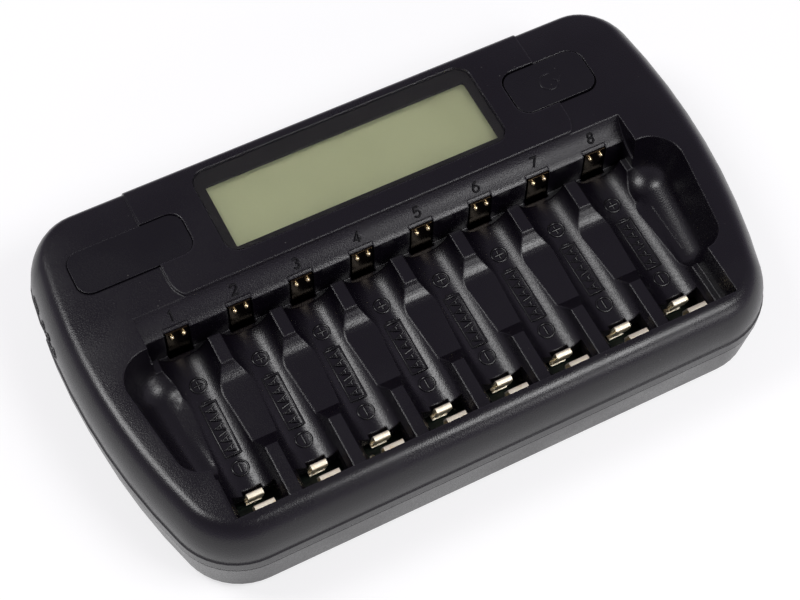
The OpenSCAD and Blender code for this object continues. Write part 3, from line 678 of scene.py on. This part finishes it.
def bay_signs(material):
    """Polarity signs and the outline of a cell with its generic sizes on each trough floor."""
    back, front = CELL_Y
    nub_half, nub_l = CELL_NUB
    middle = (back + front) / 2
    outline = line((-CELL_HALF_W, back), (-CELL_HALF_W, front), (CELL_HALF_W, front), (CELL_HALF_W, back))
    nub = line((-nub_half, back), (-nub_half, back + nub_l), (nub_half, back + nub_l), (nub_half, back))
    reach = SIGN_REACH * SIGN_R
    strokes = [
        (ring((0, PLUS_Y), SIGN_R), True),
        (line((-reach, PLUS_Y), (reach, PLUS_Y)), False),
        (line((0, PLUS_Y - reach), (0, PLUS_Y + reach)), False),
        (ring((0, MINUS_Y), SIGN_R), True),
        (line((0, MINUS_Y - reach), (0, MINUS_Y + reach)), False),
        (outline, True),
        (nub, False),
    ]
    for place in LETTER_PLACES:
        strokes += letter_a(0, middle + place * LETTER_H)
    slash = middle + SLASH_PLACE * LETTER_H
    strokes.append((line((-LETTER_H / 2, slash - SLASH_LEAN), (LETTER_H / 2, slash + SLASH_LEAN)), False))
    for number in range(1, BAY_COUNT + 1):
        emboss(f"bay_signs_{number}", strokes, on_trough(bay_x(number)), BAY_LINE, BAY_RELIEF,
               material, "case")


def window_lips(material):
    """Upper lip of each plus window: a strip of the number bar's surface carried down across it.

    A four-sided section, up the slope and inwards, is carried along X across the window."""
    low, high = WINDOW_LIP_REACH
    section = np.array([(low, 0.0), (high, 0.0), (high, -WINDOW_LIP_T), (low, -WINDOW_LIP_T)])
    u = np.repeat([-PLUS_WINDOW_W / 2, PLUS_WINDOW_W / 2], 4)
    v, h = np.tile(section, (2, 1)).T
    sides = [[k, 4 + k, 4 + (k + 1) % 4, (k + 1) % 4] for k in range(4)]
    ends = [[0, 1, 2, 3], [7, 6, 5, 4]]
    for number in range(1, BAY_COUNT + 1):
        points = on_bar(bay_x(number))(u, v, h)
        put_mesh(f"window_lip_{number}", points, sides + ends, material, "case",
                 smooth=False)


def mode_sign(material):
    """A round arrow on the button: four fifths of a circle with a point."""
    low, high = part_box("mode_button")
    centre = ((low.x + high.x) / 2 / MM, (low.y + high.y) / 2 / MM)
    tip = line((MODE_SIGN_R - 1.3, 0.3), (MODE_SIGN_R, -0.9), (MODE_SIGN_R + 1.1, 0.5))
    strokes = [(arc((0, 0), MODE_SIGN_R, 60, 350, 30), False), (tip, False)]
    emboss("mode_sign", strokes, on_flat(centre, high.z / MM), MODE_SIGN_LINE, MODE_SIGN_RELIEF,
           material, "mode_button")


def supply_signs(material):
    """Generic marks above the supply inlet: direct current, and the polarity of a barrel plug.

    A line over three dashes, then a minus, a plug seen end on and a plus in a row, joined by leads."""
    line_from, line_to, line_gap = -9.0, -4.0, 0.7
    dash, space = 1.4, 0.4
    minus_x, plug_x, plus_x = 0.0, 4.4, 8.8
    sign_r, plug_r, pin_r, pin_room = 1.4, 1.6, 0.45, 0.5
    reach = 0.6
    strokes = [(line((line_from, line_gap), (line_to, line_gap)), False)]
    for start in line_from + (dash + space) * np.arange(3):
        strokes.append((line((start, -line_gap), (start + dash, -line_gap)), False))
    strokes += [
        (ring((minus_x, 0), sign_r, 28), True),
        (line((minus_x - reach, 0), (minus_x + reach, 0)), False),
        (line((minus_x + sign_r, 0), (plug_x - plug_r, 0)), False),
        (arc((plug_x, 0), plug_r, 40, 320, 22), False),
        (ring((plug_x, 0), pin_r, 12), True),
        (line((plug_x + pin_room, 0), (plus_x - sign_r, 0)), False),
        (ring((plus_x, 0), sign_r, 28), True),
        (line((plus_x - reach, 0), (plus_x + reach, 0)), False),
        (line((plus_x, -reach), (plus_x, reach)), False),
    ]
    place = on_left_side(INLET_AXIS[0], SUPPLY_SIGN_Z)
    emboss("supply_signs", strokes, place, SUPPLY_SIGN_LINE, SUPPLY_SIGN_RELIEF,
           material, "case")


def lens_print(material):
    """Printed border behind the lens: a thin flat ring from the lens edge in to the display window."""
    low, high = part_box("display_lens")
    x = (low.x + high.x) / 2 / MM
    y = (low.y + high.y) / 2 / MM
    width = (high.x - low.x) / MM - 2 * LENS_PRINT_INSET
    depth = (high.y - low.y) / MM - 2 * LENS_PRINT_INSET
    z = low.z / MM + LENS_PRINT_GAP
    outer = round_rect(width, depth, LENS_PRINT_R) + (x, y)
    inner = round_rect(DISPLAY_WINDOW_W, DISPLAY_WINDOW_D, DISPLAY_WINDOW_R) + (x, y - DISPLAY_WINDOW_SHIFT)
    loops = [(outer, z), (outer, z + LENS_PRINT_T), (inner, z + LENS_PRINT_T), (inner, z)]
    points = np.concatenate([np.column_stack([p, np.full(len(p), h)]) for p, h in loops])
    count = len(outer)
    a = np.arange(count)
    b = (a + 1) % count
    faces = []
    for k in range(4):
        here, there = k * count, (k + 1) % 4 * count
        faces += np.stack([here + a, here + b, there + b, there + a], axis=1).tolist()
    put_mesh("lens_print", points, faces, material, "case", smooth=False)


# Scene


def dim_room():
    """A dim room with lighter walls: their light grows with the square of one less the ray's height."""
    world = bpy.data.worlds.new("dim_room")
    bpy.context.scene.world = world
    world.use_nodes = True
    n = Nodes(world.node_tree)
    n.tree.nodes.clear()
    ray = n.add("ShaderNodeTexCoord").outputs["Generated"]
    height = n.add("ShaderNodeSeparateXYZ", {"Vector": ray}).outputs["Z"]
    low = n.math("SUBTRACT", 1.0, n.math("ABSOLUTE", height))
    walls = n.math("MULTIPLY", n.math("MULTIPLY", low, low), WALL_LIGHT)
    light = n.math("ADD", walls, ROOM_LIGHT)
    sky = n.add("ShaderNodeBackground", {"Color": ROOM_TONE, "Strength": light})
    n.add("ShaderNodeOutputWorld", {"Surface": sky.outputs[0]})


def light_table():
    """A pale table that is seen and mirrored as white, and keeps the object's shadow."""
    material, n, shader = new_material("light_table")
    shader.inputs["Base Color"].default_value = colour(*TABLE_TONE)
    shader.inputs["Roughness"].default_value = 0.9
    shader.inputs["Specular IOR Level"].default_value = 0.1
    shader.inputs["Emission Color"].default_value = (1.0, 1.0, 1.0, 1.0)
    path = n.add("ShaderNodeLightPath")
    mirrored = n.math("MAXIMUM", path.outputs["Is Glossy Ray"], path.outputs["Is Transmission Ray"])
    shown = n.math("MAXIMUM", path.outputs["Is Camera Ray"], mirrored)
    n.feed(shader.inputs["Emission Strength"], n.math("MULTIPLY", shown, TABLE_LIGHT))
    corners = [(-1, -1), (1, -1), (1, 1), (-1, 1)]
    mesh = bpy.data.meshes.new("floor")
    mesh.from_pydata([(x * TABLE_HALF, y * TABLE_HALF, 0) for x, y in corners], [], [(0, 1, 2, 3)])
    mesh.materials.append(material)
    floor = bpy.data.objects.new("floor", mesh)
    bpy.context.scene.collection.objects.link(floor)


def softboxes():
    """Softboxes round the object, each facing its middle and hidden from the camera."""
    for name, (toward, distance, size, power) in LAMPS.items():
        lamp = bpy.data.lights.new(name, "AREA")
        lamp.shape = "RECTANGLE"
        lamp.size, lamp.size_y = size
        lamp.energy = power
        holder = bpy.data.objects.new(name, lamp)
        bpy.context.scene.collection.objects.link(holder)
        direction = Vector(toward).normalized()
        holder.location = direction * distance
        holder.visible_camera = False
        holder.rotation_mode = "QUATERNION"
        holder.rotation_quaternion = direction.to_track_quat("Z", "Y")


def photo_camera():
    """The photograph's view: place, three axes and lens."""
    data = bpy.data.cameras.new("photo_camera")
    data.lens = CAMERA_LENS
    data.sensor_width = CAMERA_SENSOR
    data.clip_start, data.clip_end = CAMERA_CLIP
    camera = bpy.data.objects.new("photo_camera", data)
    bpy.context.scene.collection.objects.link(camera)
    axes = Matrix((CAMERA_RIGHT, CAMERA_UP, CAMERA_BACK)).transposed()
    camera.matrix_world = Matrix.Translation(Vector(CAMERA_AT) * MM) @ axes.to_4x4()
    bpy.context.scene.camera = camera


def numbered(name, count):
    """Names of a row of like nodes, counted from 1."""
    return [f"{name}_{k}" for k in range(1, count + 1)]


# The solids are loaded into an empty scene
for leftover in list(bpy.data.objects):
    bpy.data.objects.remove(leftover)
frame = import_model()
bpy.context.scene.view_settings.view_transform = "Standard"

GROUPS = {"grain": make_spark_grain(), "handling": make_handling(), "shading": make_soft_shading()}

plastics = {name: moulded_plastic(name) for name in PLASTICS}
contact_brass = plated_metal(
    "contact_brass", colour(255, 247, 225), colour(240, 216, 172), roughness=0.50, streak_mm=0.5
)
# Brass of the plus contacts, painted dark as shade under the number bar, with a painted highlight on the
# dimples that stand forward
brass_painted_shade = plated_metal(
    "brass_painted_shade", colour(66, 55, 40), colour(48, 39, 28), roughness=0.14, streak_mm=0.5,
    streak_depth=0.002, painted_highlight=(PLUS_PLATE_Y - BORDER_ROOM, colour(252, 232, 184)),
)
screw_steel = plated_metal(
    "screw_steel", colour(196, 196, 194), colour(150, 148, 144), roughness=0.34, streak_mm=0.4
)

dress(["top_case"], plastics["case_plastic"])
dress(["bottom_case"], plastics["base_plastic"])
dress(["mode_button"], plastics["button_plastic"])
dress(["badge_plate"], plastics["badge_plastic"])
dress(["display_lens"], clear_lens("lens"))
dress(["display_glass"], display_face("lcd"))
dress(["display_holder"], plastics["holder_plastic"])
dress(["display_strips"], plastics["strip_rubber"])
dress(["display_board", "main_board"], circuit_board("board"))
dress(["display_screws", "board_screws", "case_screws"], screw_steel)
dress(["switch_body"], plastics["switch_plastic"])
dress(["switch_plunger"], plastics["plunger_plastic"])
dress(["dc_inlet"], inlet_housing("inlet_plastic"))
dress(["board_link", "control_chip", "charge_transistors"], plastics["chip_plastic"])
dress(["smoothing_capacitors"], plastics["capacitor_can"])
dress(["choke_coil"], plastics["choke_ferrite"])
dress(numbered("foot", FOOT_COUNT), plastics["foot_rubber"])
dress(numbered("plus_contact", BAY_COUNT), brass_painted_shade, SHEET_ANGLE)
for leaf in ("aa_contact", "aaa_contact"):
    dress(numbered(leaf, BAY_COUNT), contact_brass, SHEET_ANGLE)

bay_numbers(plastics["mark_plastic"])
bay_signs(plastics["sign_plastic"])
window_lips(plastics["case_plastic"])
mode_sign(plastics["button_plastic"])
supply_signs(plastics["case_plastic"])
lens_print(printed_border("lens_print"))

dim_room()
light_table()
softboxes()
photo_camera()
